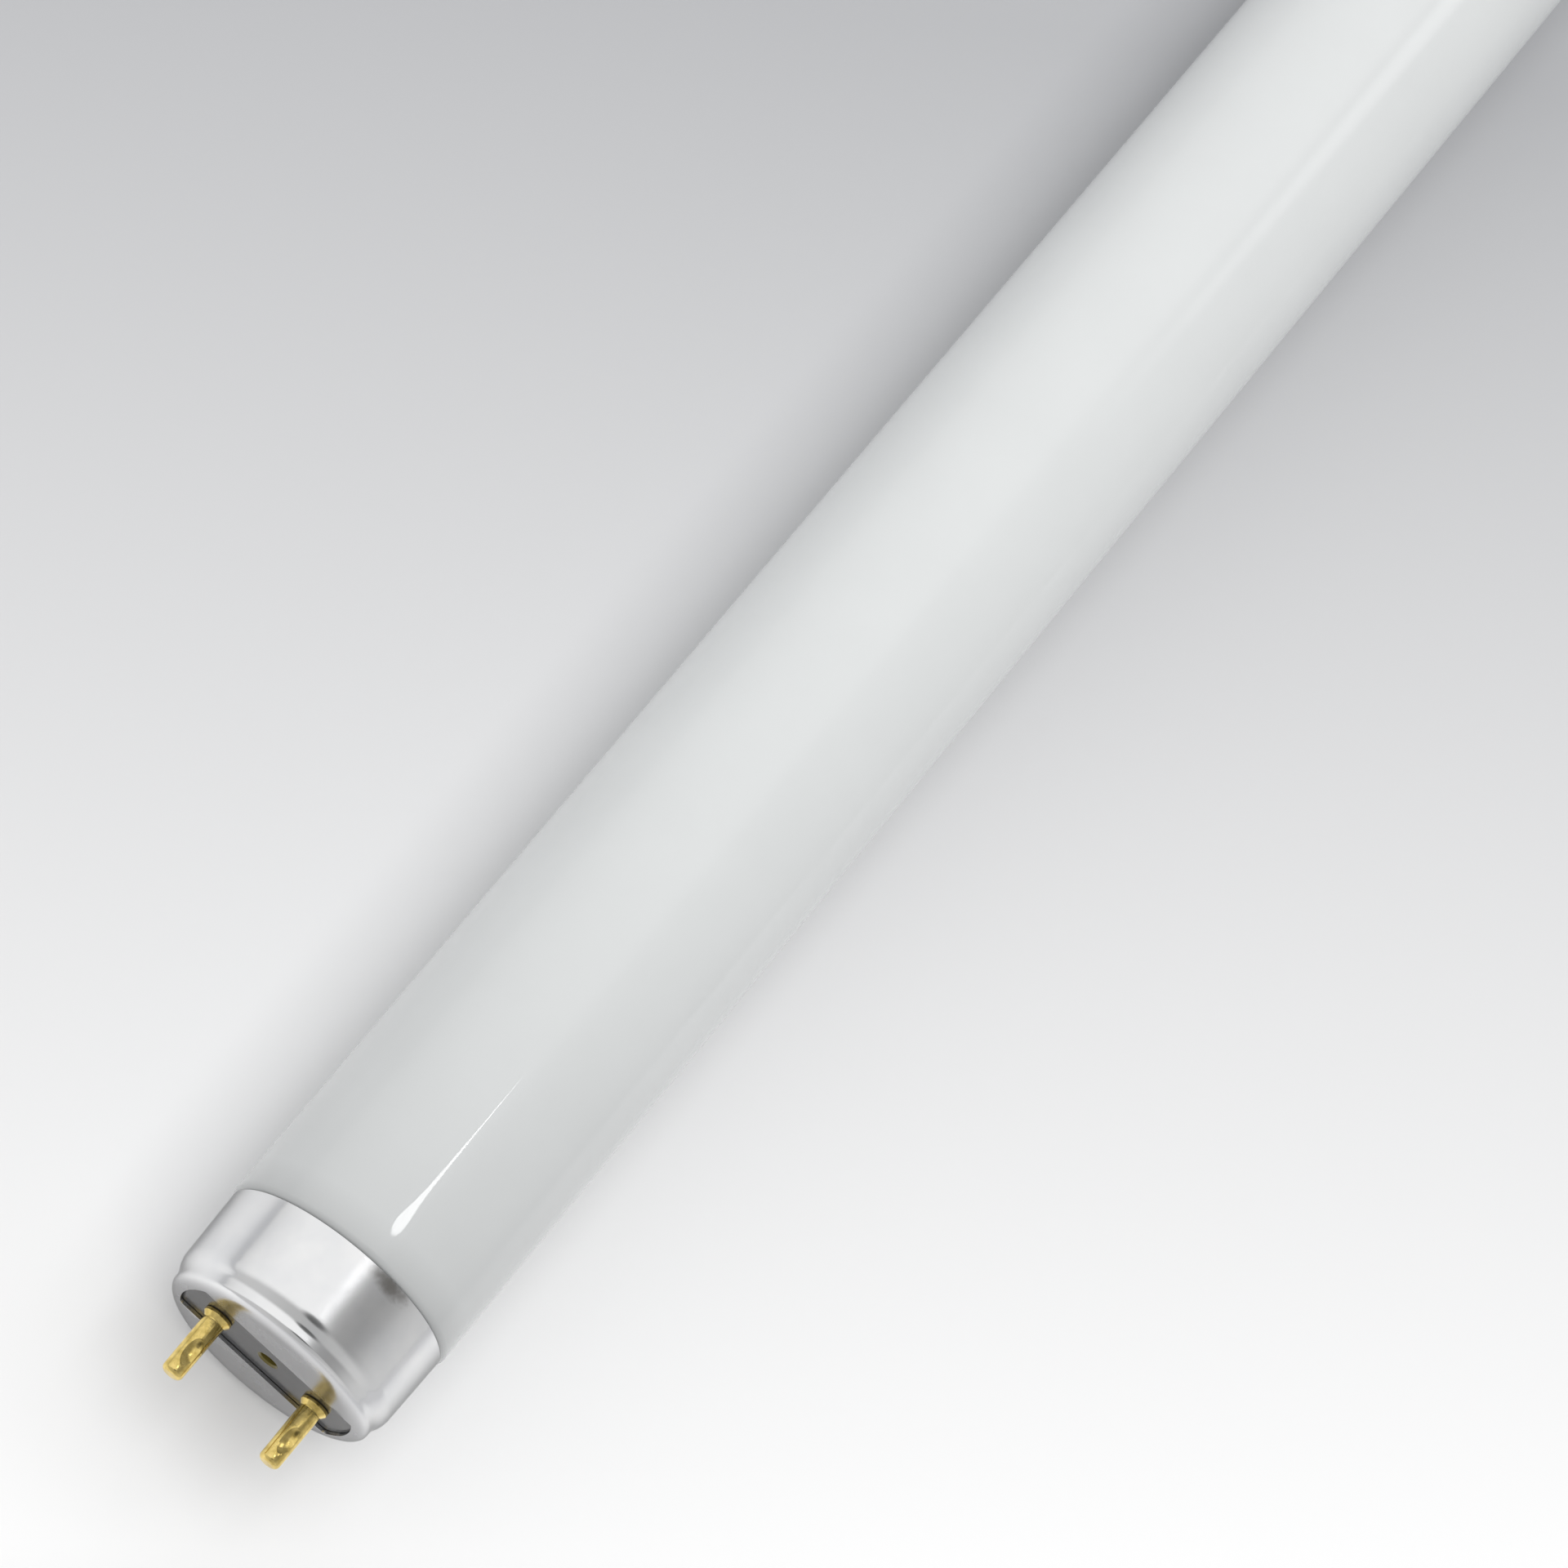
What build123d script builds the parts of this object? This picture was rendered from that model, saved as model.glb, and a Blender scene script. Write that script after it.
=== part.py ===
from build123d import *
import os
from math import pi, sqrt, tan

# Straight fluorescent lamp, 26 mm glass tube with a two-pin cap on each end.
# The lamp's axis is X, its middle is the origin, and both pins of an end lie on Y.
# Every end piece is drawn for one end, with x = 0 on the cap's face, x towards the pins.

# Driving dimensions in millimetres
face_to_face = 589.8
fit_clearance = 0.05

# Glass tube
glass_diameter = 26.0
glass_wall = 0.6
glass_bend_radius = 0.2
glass_neck_step = 1.4
glass_to_cap_gap = 0.05
glass_rim_depth = 4.5
glass_rim_fillet = 0.35

# Stem: a trumpet-shaped flare, a straight tube and a flattened press
flare_wall = 0.7
flare_rim_width = 1.0
stem_tube_diameter = 8.6
stem_tube_length = 8.5
press_length = 9.0
press_taper_length = 4.0
press_width = 9.6
press_thickness = 3.4
press_corner_radius = 1.65
exhaust_diameter = 3.2
exhaust_bore = 2.0
exhaust_tip_depth = 2.9

# Aluminium end cap
cap_height = 10.8
cap_wall = 0.35
cap_step_from_glass = 0.25
cap_skirt_taper = 0.2
cap_step_depth = 0.58
cap_step_length = 1.15
cap_step_bend_radius = 0.3
cap_neck_length = 1.65
cap_neck_taper = 0.1
cap_shoulder_height = 1.0
cap_shoulder_width = 2.4
slot_width = 8.4
slot_past_flat = 0.85
slot_corner_radius = 0.5

# Insulating pin plate
plate_thickness = 1.5
vent_hole_diameter = 2.0
vent_countersink = 0.2

# Brass contact pins
pin_spacing = 12.7
pin_diameter = 2.35
pin_tip_diameter = 2.3
pin_length = 7.1
pin_tip_fillet = 0.5
pin_collar_diameter = 3.1
pin_collar_thickness = 0.4
pin_collar_fillet = 0.12
pin_collar_cone_length = 0.45
pin_tail_length = 0.6
pin_rivet_diameter = 3.4
pin_rivet_thickness = 0.35
pin_bore = 1.2
crimp_radius = 0.9
crimp_depth = 0.35
crimp_core_length = 1.5
crimp_from_tip = 2.7

# Cement ring and lead wires
cement_from_rim = 0.6
cement_from_skirt_edge = 0.9
wire_diameter = 0.5
wire_seat_depth = 3.0
wire_bend_from_flare = 1.1
wire_straight_from_plate = 1.6
wire_end_from_tip = 1.2
wire_bend_share = 0.45

# How far a cutting form runs past the piece that it opens
cut_margin = 1.0

# Sizes that follow from the ones above
half_length = face_to_face / 2
glass_radius = glass_diameter / 2
neck_radius = glass_radius - glass_neck_step
seam_x = -cap_height
rim_x = -glass_rim_depth
plate_front_x = -cap_wall - fit_clearance
plate_back_x = plate_front_x - plate_thickness
cap_open_radius = glass_radius - cap_step_from_glass
step_start_x = -cap_neck_length - cap_step_length
step_start_radius = cap_open_radius - cap_skirt_taper
neck_start_radius = step_start_radius - cap_step_depth
cap_end_radius = neck_start_radius - cap_neck_taper
cap_flat_radius = cap_end_radius - cap_shoulder_width
slot_end_radius = cap_flat_radius + slot_past_flat
plate_radius = cap_end_radius - cap_wall - fit_clearance
stem_radius = stem_tube_diameter / 2
stem_bore_radius = stem_radius - flare_wall
flare_centre_radius = neck_radius - glass_wall - flare_rim_width
flare_curve = flare_centre_radius - stem_bore_radius
flare_centre_x = rim_x - flare_curve
press_start_x = flare_centre_x - stem_tube_length
press_end_x = press_start_x - press_length
pin_radius = pin_diameter / 2
wire_radius = wire_diameter / 2
crimp_start_x = pin_length - crimp_from_tip - crimp_core_length / 2 - crimp_radius
wire_end_x = pin_length - wire_end_from_tip
wire_press_y = (exhaust_diameter / 2 + stem_bore_radius) / 2
exhaust_tip_x = rim_x - exhaust_tip_depth


def revolved(outline):
    """A solid of revolution about X from a closed outline in x and radius."""
    return revolve(make_face(outline), Axis.X, 360)


def rod(start_x, end_x, radius, y=0.0):
    """A cylinder along X between two places."""
    middle = Pos((start_x + end_x) / 2, y, 0)
    return middle * Rot(0, 90, 0) * Cylinder(radius, end_x - start_x)


def quarter_arc(start, end, centre):
    """A quarter of a circle about centre, in x and radius."""
    middle = tuple(c + (s + e - 2 * c) / sqrt(2) for s, e, c in zip(start, end, centre))
    return ThreePointArc(start, middle, end)


def skirt_radius(x):
    """Outer radius of the cap's slightly tapered skirt at x."""
    share = (x - seam_x) / (step_start_x - seam_x)
    return cap_open_radius - cap_skirt_taper * share


def cap_form(inset, overrun=0.0):
    """The full form of the cap, solid to the axis, with its surface moved in by inset."""
    open_x = seam_x - overrun
    skirt_end = (step_start_x, step_start_radius - inset)
    neck_start = (-cap_neck_length, neck_start_radius - inset)
    neck_end = (-cap_shoulder_height, cap_end_radius - inset)
    sides = Polyline(
        (-inset, 0),
        (open_x, 0),
        (open_x, skirt_radius(open_x) - inset),
        skirt_end,
        neck_start,
        neck_end,
    )
    shoulder = EllipticalCenterArc(
        (-cap_shoulder_height, cap_flat_radius),
        cap_shoulder_height - inset,
        cap_shoulder_width - inset,
        arc_size=90,
    )
    face = Line((-inset, cap_flat_radius), (-inset, 0))
    outline = make_face(sides + shoulder + face)
    bends = [outline.vertices().sort_by_distance(corner)[0] for corner in (skirt_end, neck_start)]
    return revolve(fillet(bends, cap_step_bend_radius), Axis.X, 360)


def end_cap():
    """Drawn aluminium shell: tapered skirt, step down to a neck, round shoulder, slotted face."""
    shell = cap_form(0) - cap_form(cap_wall, overrun=cut_margin)
    slot = Circle(slot_end_radius) & Rectangle(2 * slot_end_radius, slot_width)
    slot = fillet(slot.vertices(), slot_corner_radius)
    cutter = extrude(Plane.YZ * slot, amount=cap_neck_length, both=True)
    return shell - cutter


def pin_plate():
    """Insulating disc that fits the inside of the cap's face, with two pin holes and a vent hole."""
    plate = cap_form(cap_wall + fit_clearance) & rod(plate_back_x, plate_front_x, plate_radius)
    cut_start = plate_back_x - cut_margin
    cut_end = plate_front_x + cut_margin
    for side in (-1, 1):
        plate -= rod(cut_start, cut_end, pin_radius, side * pin_spacing / 2)
    vent_radius = vent_hole_diameter / 2
    countersink = Pos(plate_front_x - vent_countersink / 2, 0, 0) * Rot(0, 90, 0) * Cone(
        vent_radius, vent_radius + vent_countersink, vent_countersink
    )
    return plate - rod(cut_start, cut_end, vent_radius) - countersink


def crimp_cutter(side):
    """Round-ended groove that a crimping jaw leaves on one side of a pin."""
    centre_x = pin_length - crimp_from_tip
    height = pin_radius + crimp_radius - crimp_depth
    cutter = rod(-crimp_core_length / 2, crimp_core_length / 2, crimp_radius)
    for end in (-1, 1):
        cutter += Pos(end * crimp_core_length / 2, 0, 0) * Sphere(crimp_radius)
    return Pos(centre_x, 0, side * height) * cutter


def contact_pin(side):
    """Brass pin: riveted tail, coned collar on the plate, hollow shank slimmer past its crimp."""
    tail_x = plate_back_x - pin_tail_length
    rivet_x = plate_back_x - pin_rivet_thickness
    collar_x = plate_front_x + pin_collar_thickness
    cone_end_x = collar_x + pin_collar_cone_length
    collar_radius = pin_collar_diameter / 2
    rivet_radius = pin_rivet_diameter / 2
    outline = Polyline(
        (tail_x, 0),
        (tail_x, pin_radius),
        (rivet_x, rivet_radius),
        (plate_back_x, rivet_radius),
        (plate_back_x, pin_radius),
        (plate_front_x, pin_radius),
        (plate_front_x, collar_radius - pin_collar_fillet),
        (plate_front_x + pin_collar_fillet, collar_radius),
        (collar_x, collar_radius),
        (cone_end_x, pin_radius),
        (crimp_start_x, pin_radius),
        (pin_length, pin_tip_diameter / 2),
        (pin_length, 0),
        close=True,
    )
    pin = revolved(outline)
    tip_edge = pin.edges().filter_by(GeomType.CIRCLE).sort_by(Axis.X)[-1]
    pin = fillet(tip_edge, pin_tip_fillet)
    pin -= rod(tail_x, crimp_start_x, pin_bore / 2)
    pin -= rod(tail_x, wire_end_x, wire_radius)
    pin = pin - crimp_cutter(1) - crimp_cutter(-1)
    return Pos(0, side * pin_spacing / 2, 0) * pin


def cement_ring():
    """Ring of basing cement between the skirt and the glass neck."""
    front_x = rim_x - cement_from_rim
    back_x = seam_x + cement_from_skirt_edge
    outline = Polyline(
        (back_x, neck_radius),
        (back_x, skirt_radius(back_x) - cap_wall),
        (front_x, skirt_radius(front_x) - cap_wall),
        (front_x, neck_radius),
        close=True,
    )
    return revolved(outline)


def wire_route(side):
    """Corner points of a lead wire, from its seat in the press to the pin's tip."""
    near = side * wire_press_y
    far = side * pin_spacing / 2
    return [
        Vector(press_start_x - wire_seat_depth, near, 0),
        Vector(flare_centre_x + wire_bend_from_flare, near, 0),
        Vector(plate_back_x - wire_straight_from_plate, far, 0),
        Vector(wire_end_x, far, 0),
    ]


def lead_wire(side):
    """Round wire along straight runs joined by the largest arcs that fit them."""
    points = wire_route(side)
    runs = [b - a for a, b in zip(points, points[1:])]
    radii = []
    for before, after in zip(runs, runs[1:]):
        half_turn = before.get_angle(after) * pi / 360
        radii.append(wire_bend_share * min(before.length, after.length) / tan(half_turn))
    route = FilletPolyline(*points, radius=radii)
    section = Plane(origin=route @ 0, z_dir=route % 0) * Circle(wire_radius)
    wire = sweep(section, path=route)
    expected = pi * wire_radius**2 * route.length
    print("wire radii", [round(r, 2) for r in radii], "volume ratio", round(wire.volume / expected, 4))
    return wire


def glass_form(inset, end_x):
    """One half of the blown tube, solid to the axis, with its surface moved in by inset."""
    shoulder_end_x = seam_x - glass_to_cap_gap - inset
    shoulder_radius = glass_bend_radius + glass_wall - inset
    radius = glass_radius - inset
    neck = neck_radius - inset
    fillet_radius = radius - neck - shoulder_radius
    shoulder_x = shoulder_end_x - shoulder_radius
    shoulder_start = (shoulder_x, radius)
    shoulder_end = (shoulder_end_x, radius - shoulder_radius)
    neck_start = (shoulder_end_x + fillet_radius, neck)
    barrel = Polyline((end_x, 0), (-half_length, 0), (-half_length, radius), shoulder_start)
    shoulder = quarter_arc(shoulder_start, shoulder_end, (shoulder_x, radius - shoulder_radius))
    hollow = quarter_arc(shoulder_end, neck_start, (neck_start[0], neck + fillet_radius))
    tip = Polyline(neck_start, (end_x, neck), (end_x, 0))
    return revolved(barrel + shoulder + hollow + tip)


def flare_form(inset):
    """Trumpet and straight tube of the stem, solid to the axis, at the bore plus inset."""
    front_x = rim_x + cut_margin
    curve = flare_curve - inset
    tube_radius = stem_bore_radius + inset
    curve_start = (flare_centre_x + curve, flare_centre_radius)
    curve_end = (flare_centre_x, tube_radius)
    mouth = Polyline((front_x, 0), (front_x, flare_centre_radius), curve_start)
    trumpet = quarter_arc(curve_start, curve_end, (flare_centre_x, flare_centre_radius))
    tube = Polyline(curve_end, (press_start_x, tube_radius), (press_start_x, 0), (front_x, 0))
    return revolved(mouth + trumpet + tube)


def press_form():
    """Stem tube squeezed flat round the wires, wide across the pins."""
    round_end = Plane.YZ.offset(press_start_x) * Circle(stem_radius)
    flat = RectangleRounded(press_width, press_thickness, press_corner_radius)
    flat_start = Plane.YZ.offset(press_start_x - press_taper_length) * flat
    flat_end = Plane.YZ.offset(press_end_x) * flat
    return loft([round_end, flat_start]) + loft([flat_start, flat_end], ruled=True)


def glass_tube():
    """Sealed blown tube: barrel, necked ends, re-entrant stems and one exhaust tip."""
    rim = glass_form(0, rim_x)
    rim_edge = rim.edges().filter_by(GeomType.CIRCLE).sort_by(Axis.X)[-1]
    outer = fillet(rim_edge, glass_rim_fillet)
    cavity = glass_form(glass_wall, rim_x - flare_wall)
    stem = flare_form(flare_wall) + press_form()
    bore = flare_form(0)
    half = outer - (cavity - stem) - bore
    for side in (-1, 1):
        half -= rod(press_start_x - wire_seat_depth, press_start_x, wire_radius, side * wire_press_y)
    return half


def exhaust_tube():
    """Tip of the tube that the lamp was pumped through, sealed off at its outer end."""
    tube = rod(press_start_x, exhaust_tip_x, exhaust_diameter / 2)
    tip_edge = tube.edges().filter_by(GeomType.CIRCLE).sort_by(Axis.X)[-1]
    return fillet(tip_edge, exhaust_bore / 2)


def exhaust_passage():
    """Bore from the inside of the lamp through the press to just short of the tip."""
    return rod(press_end_x - cut_margin, exhaust_tip_x - glass_wall, exhaust_bore / 2)


def at_end(piece, end):
    """Moves a piece drawn for one end to the plus or the minus end of the lamp."""
    placed = Pos(half_length, 0, 0) * piece
    if end == "b":
        placed = mirror(placed, Plane.YZ)
    return placed


def save(piece, name):
    solids = piece.solids()
    body = solids[0] if len(solids) == 1 else piece
    print(name, "solids", len(solids), "valid", body.is_valid, "volume", round(body.volume, 2))
    export_step(body, f"parts/{name}.step")


os.makedirs("parts", exist_ok=True)
plain_half = glass_tube()
pumped_half = plain_half + exhaust_tube() - exhaust_passage()
save(at_end(plain_half, "a") + at_end(pumped_half, "b"), "glass_tube")
for end in ("a", "b"):
    save(at_end(end_cap(), end), f"end_cap_{end}")
    save(at_end(pin_plate(), end), f"pin_plate_{end}")
    save(at_end(cement_ring(), end), f"cement_ring_{end}")
    for number, side in ((1, -1), (2, 1)):
        save(at_end(contact_pin(side), end), f"contact_pin_{end}{number}")
        save(at_end(lead_wire(side), end), f"lead_wire_{end}{number}")
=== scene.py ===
from math import atan2, cos, pi, radians, sin, sqrt, tan

import bmesh
import bpy
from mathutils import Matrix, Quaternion, Vector


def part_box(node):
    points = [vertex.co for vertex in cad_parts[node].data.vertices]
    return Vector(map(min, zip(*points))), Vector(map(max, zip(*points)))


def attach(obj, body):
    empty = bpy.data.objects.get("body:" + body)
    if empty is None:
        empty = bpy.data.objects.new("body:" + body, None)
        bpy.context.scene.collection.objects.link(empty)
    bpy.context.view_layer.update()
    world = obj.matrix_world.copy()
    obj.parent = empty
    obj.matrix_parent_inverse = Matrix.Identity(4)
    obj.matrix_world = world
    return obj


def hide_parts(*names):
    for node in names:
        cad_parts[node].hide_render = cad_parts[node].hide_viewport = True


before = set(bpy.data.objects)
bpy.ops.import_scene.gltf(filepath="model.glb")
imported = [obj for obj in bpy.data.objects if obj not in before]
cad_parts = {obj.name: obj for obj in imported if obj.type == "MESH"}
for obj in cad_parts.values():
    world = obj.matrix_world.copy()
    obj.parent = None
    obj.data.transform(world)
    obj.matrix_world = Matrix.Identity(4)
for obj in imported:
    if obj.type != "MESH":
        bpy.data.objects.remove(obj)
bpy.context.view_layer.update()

# A straight fluorescent lamp lying on a pale table, looked down on from beyond one end.
# The lamp's axis is X, its middle is the origin, and the two pins of an end lie on Y.

MM = 0.001
NEAR = 0.002 * MM

# How finely round forms are divided
TUBE_SIDES = 192
PIN_SIDES = 64
SHOULDER_STEPS = 24
SLOT_CORNER_STEPS = 6
CRIMP_STEPS = 24

# Edges that turn by more than this are shaded sharp, and flat faces weigh this much in the shading
SHARP_FROM = radians(35)
FLAT_FACE_WEIGHT = 80


def outer_radius(node):
    """Radius of a round piece that lies on the lamp's axis."""
    _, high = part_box(node)
    return max(high.y, high.z)


# Places that the frame gives
cap_low, cap_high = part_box("end_cap_a")
plate_low, plate_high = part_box("pin_plate_a")
pin_low, pin_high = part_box("contact_pin_a2")
GLASS_RADIUS = outer_radius("glass_tube")
CAP_OPEN_RADIUS = outer_radius("end_cap_a")
PLATE_RADIUS = outer_radius("pin_plate_a")
FACE_X = cap_high.x
SEAM_X = cap_low.x
PLATE_BACK_X = plate_low.x
PLATE_FRONT_X = plate_high.x
PIN_Y = (pin_low.y + pin_high.y) / 2
PIN_BACK_X = pin_low.x
PIN_TIP_X = pin_high.x
FLOOR_Z = -GLASS_RADIUS

# Blown glass tube
GLASS_WALL = 0.6 * MM
GLASS_BEND = 0.8 * MM
GLASS_NECK_STEP = 1.4 * MM
GLASS_SEAM_GAP = 0.05 * MM
GLASS_RIM_DEPTH = 4.5 * MM
GLASS_RIM_ROUND = 0.3 * MM
STEM_BORE_RADIUS = 3.6 * MM
STEM_LENGTH = 8.5 * MM
FLARE_RIM_WIDTH = 1.0 * MM
PRESS_ROUND = 0.5 * MM

# Drawn aluminium cap
CAP_WALL = 0.35 * MM
SKIRT_TAPER = 0.2 * MM
STEP_LENGTH = 1.15 * MM
STEP_OUTER_BEND = 2.4 * MM
STEP_INNER_BEND = 1.4 * MM
NECK_LENGTH = 1.65 * MM
NECK_INSET = 0.63 * MM
SHOULDER_HEIGHT = 1.0 * MM
SHOULDER_WIDTH = 2.4 * MM
SHOULDER_SQUARENESS = 2.5
SLOT_WIDTH = 8.4 * MM
SLOT_PAST_FLAT = 0.85 * MM
SLOT_CORNER = 0.5 * MM
SLOT_CUT_DEPTH = 3 * CAP_WALL
SHEET_EDGE_ROUND = 0.05 * MM
SHEET_EDGE_FROM = radians(50)
SKIRT_END_RADIUS = CAP_OPEN_RADIUS - SKIRT_TAPER
NECK_RADIUS = SKIRT_END_RADIUS - NECK_INSET
FLAT_RADIUS = NECK_RADIUS - SHOULDER_WIDTH
SLOT_END_RADIUS = FLAT_RADIUS + SLOT_PAST_FLAT

# Moulded pin plate
VENT_RADIUS = 1.0 * MM
VENT_COUNTERSINK = 0.2 * MM
DRILL_PAST_PLATE = 1.0 * MM

# Turned brass pins
PIN_RADIUS = 1.175 * MM
PIN_TIP_RADIUS = 1.15 * MM
PIN_TIP_ROUND = 0.5 * MM
PIN_TAIL_ROUND = 0.1 * MM
COLLAR_RADIUS = 1.55 * MM
COLLAR_THICKNESS = 0.4 * MM
COLLAR_BACK_ROUND = 0.12 * MM
COLLAR_FRONT_ROUND = 0.1 * MM
COLLAR_CONE_LENGTH = 0.45 * MM
CONE_FOOT_ROUND = 0.3 * MM
RIVET_RADIUS = 1.7 * MM
RIVET_THICKNESS = 0.35 * MM
RIVET_ROUND = 0.08 * MM
CRIMP_RADIUS = 2.2 * MM
CRIMP_DEPTH = 0.35 * MM
CRIMP_HALF_LENGTH = 3.0 * MM
CRIMP_FROM_TIP = 2.75 * MM
SHANK_TAPER_FROM_TIP = 4.35 * MM
CRIMP_EDGE_ROUND = 0.16 * MM
CRIMP_EDGE_FROM = radians(30)


def deselect_all():
    bpy.ops.object.select_all(action="DESELECT")


def select_points(piece, chosen):
    """In edit mode, selects the points whose place the given test accepts, with what they span."""
    bpy.ops.mesh.select_all(action="DESELECT")
    bpy.ops.mesh.select_mode(type="VERT")
    mesh = bmesh.from_edit_mesh(piece.data)
    for point in mesh.verts:
        point.select = chosen(point.co)
    mesh.select_flush_mode()
    bmesh.update_edit_mesh(piece.data)


def draw_profile(name, points):
    """Draws a chain of straight lines through the points, in edit mode."""
    deselect_all()
    bpy.ops.mesh.primitive_plane_add(size=MM, location=points[0])
    piece = bpy.context.object
    piece.name = name
    piece.data.name = name
    bpy.ops.object.transform_apply(location=True)
    bpy.ops.object.mode_set(mode="EDIT")
    bpy.ops.mesh.select_all(action="SELECT")
    bpy.ops.mesh.merge(type="CENTER")
    for start, end in zip(points, points[1:]):
        bpy.ops.mesh.extrude_region_move(TRANSFORM_OT_translate={"value": end - start})
    return piece


def round_corner(piece, corner, radius, segments):
    """Turns one corner point of a drawn profile into an arc of that radius."""
    mesh = bmesh.from_edit_mesh(piece.data)
    point = min(mesh.verts, key=lambda v: (v.co - corner).length)
    one, other = [(edge.other_vert(point).co - point.co) for edge in point.link_edges]
    reach = radius / tan(one.angle(other) / 2)
    select_points(piece, lambda place: (place - corner).length < NEAR)
    bpy.ops.mesh.bevel(offset=reach, segments=segments, profile=0.5, affect="VERTICES")


def spin_about_axis(piece, sides, axis_y=0.0):
    """Spins the drawn profile into a closed turned form and leaves edit mode."""
    bpy.ops.mesh.select_all(action="SELECT")
    bpy.ops.mesh.spin(
        steps=sides, angle=2 * pi, center=(0, axis_y, 0), axis=(1, 0, 0), use_auto_merge=True,
    )
    bpy.ops.mesh.select_all(action="SELECT")
    bpy.ops.mesh.remove_doubles(threshold=NEAR)
    bpy.ops.mesh.normals_make_consistent(inside=False)
    bpy.ops.object.mode_set(mode="OBJECT")
    return piece


def turned(name, profile, sides, axis_y=0.0):
    """A turned form from a list of (x, radius, corner radius, arc segments)."""
    points = [Vector((x, axis_y, radius)) for x, radius, _, _ in profile]
    piece = draw_profile(name, points)
    for point, (_, _, corner, segments) in zip(points, profile):
        if corner:
            round_corner(piece, point, corner, segments)
    return spin_about_axis(piece, sides, axis_y)


def activate(piece):
    deselect_all()
    piece.select_set(True)
    bpy.context.view_layer.objects.active = piece


def apply_modifier(piece, name, kind, **settings):
    """Adds one modifier with its settings and applies it."""
    activate(piece)
    modifier = piece.modifiers.new(name, kind)
    for setting, value in settings.items():
        setattr(modifier, setting, value)
    bpy.ops.object.modifier_apply(modifier=name)


def cut_away(piece, cutter):
    """Takes the cutter's form out of the piece and throws the cutter away."""
    apply_modifier(piece, "cut", "BOOLEAN", operation="DIFFERENCE", object=cutter, solver="EXACT")
    bpy.data.objects.remove(cutter)


def soften_edges(piece, width, segments, from_angle):
    """Rounds every edge that turns by more than from_angle."""
    apply_modifier(
        piece, "soften", "BEVEL", width=width, segments=segments, limit_method="ANGLE",
        angle_limit=from_angle, harden_normals=False, miter_outer="MITER_ARC",
    )


def smooth_shading(piece):
    """Smooth shading that keeps flat faces flat and leaves true corners sharp."""
    activate(piece)
    bpy.ops.object.shade_smooth_by_angle(angle=SHARP_FROM)
    apply_modifier(
        piece, "flats", "WEIGHTED_NORMAL", mode="FACE_AREA", weight=FLAT_FACE_WEIGHT, keep_sharp=True,
    )


def copy_to_other_end(piece, name):
    """A copy mirrored to the lamp's other end, with its own mesh."""
    activate(piece)
    bpy.ops.object.duplicate()
    copy = bpy.context.object
    copy.name = name
    copy.data.name = name
    bpy.ops.object.mode_set(mode="EDIT")
    bpy.ops.mesh.select_all(action="SELECT")
    bpy.ops.transform.resize(value=(-1, 1, 1), center_override=(0, 0, 0))
    bpy.ops.mesh.normals_make_consistent(inside=False)
    bpy.ops.object.mode_set(mode="OBJECT")
    return copy


def copy_to_other_pin(piece, name):
    """A copy moved from one pin's place to the other pin of the same end."""
    activate(piece)
    bpy.ops.object.duplicate()
    copy = bpy.context.object
    copy.name = name
    copy.data.name = name
    bpy.ops.object.mode_set(mode="EDIT")
    bpy.ops.mesh.select_all(action="SELECT")
    bpy.ops.transform.translate(value=(0, -2 * PIN_Y, 0))
    bpy.ops.object.mode_set(mode="OBJECT")
    return copy


def glass_skin():
    """Outer skin of the sealed tube, with its necks and the trumpet of each stem."""
    shoulder_x = SEAM_X - GLASS_SEAM_GAP
    neck = GLASS_RADIUS - GLASS_NECK_STEP
    rim_x = FACE_X - GLASS_RIM_DEPTH
    mouth = neck - GLASS_WALL - FLARE_RIM_WIDTH
    flare = mouth - STEM_BORE_RADIUS
    press_x = rim_x - flare - STEM_LENGTH
    one_end = [
        (shoulder_x, GLASS_RADIUS, GLASS_BEND, 10),
        (shoulder_x, neck, GLASS_NECK_STEP - GLASS_BEND - 2 * NEAR, 8),
        (rim_x, neck, GLASS_RIM_ROUND, 5),
        (rim_x, STEM_BORE_RADIUS, flare, 16),
        (press_x, STEM_BORE_RADIUS, PRESS_ROUND, 4),
        (press_x, 0, 0, 0),
    ]
    other_end = [(-x, radius, corner, segments) for x, radius, corner, segments in reversed(one_end)]
    piece = turned("glass_tube_skin", other_end + one_end, TUBE_SIDES)
    smooth_shading(piece)
    return piece


def shoulder(inset):
    """Squared quarter ellipse from the cap's neck round to its flat face, moved inwards by inset."""
    points = []
    for step in range(SHOULDER_STEPS + 1):
        turn = pi / 2 * step / SHOULDER_STEPS
        forward = sin(turn) ** (2 / SHOULDER_SQUARENESS)
        outward = max(cos(turn), 0) ** (2 / SHOULDER_SQUARENESS)
        x = FACE_X - SHOULDER_HEIGHT + (SHOULDER_HEIGHT - inset) * forward
        points.append((x, FLAT_RADIUS + (SHOULDER_WIDTH - inset) * outward, 0, 0))
    return points


def cap_outline(inset):
    """Outline of the cap from its open edge to its face, moved inwards by inset."""
    sides = [
        (SEAM_X, CAP_OPEN_RADIUS - inset, 0, 0),
        (FACE_X - NECK_LENGTH - STEP_LENGTH, SKIRT_END_RADIUS - inset, STEP_OUTER_BEND, 8),
        (FACE_X - NECK_LENGTH, NECK_RADIUS - inset, STEP_INNER_BEND, 6),
    ]
    # The face ends inside the slot, which cuts its middle away
    return sides + shoulder(inset) + [(FACE_X - inset, SLOT_WIDTH / 4, 0, 0)]


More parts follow.
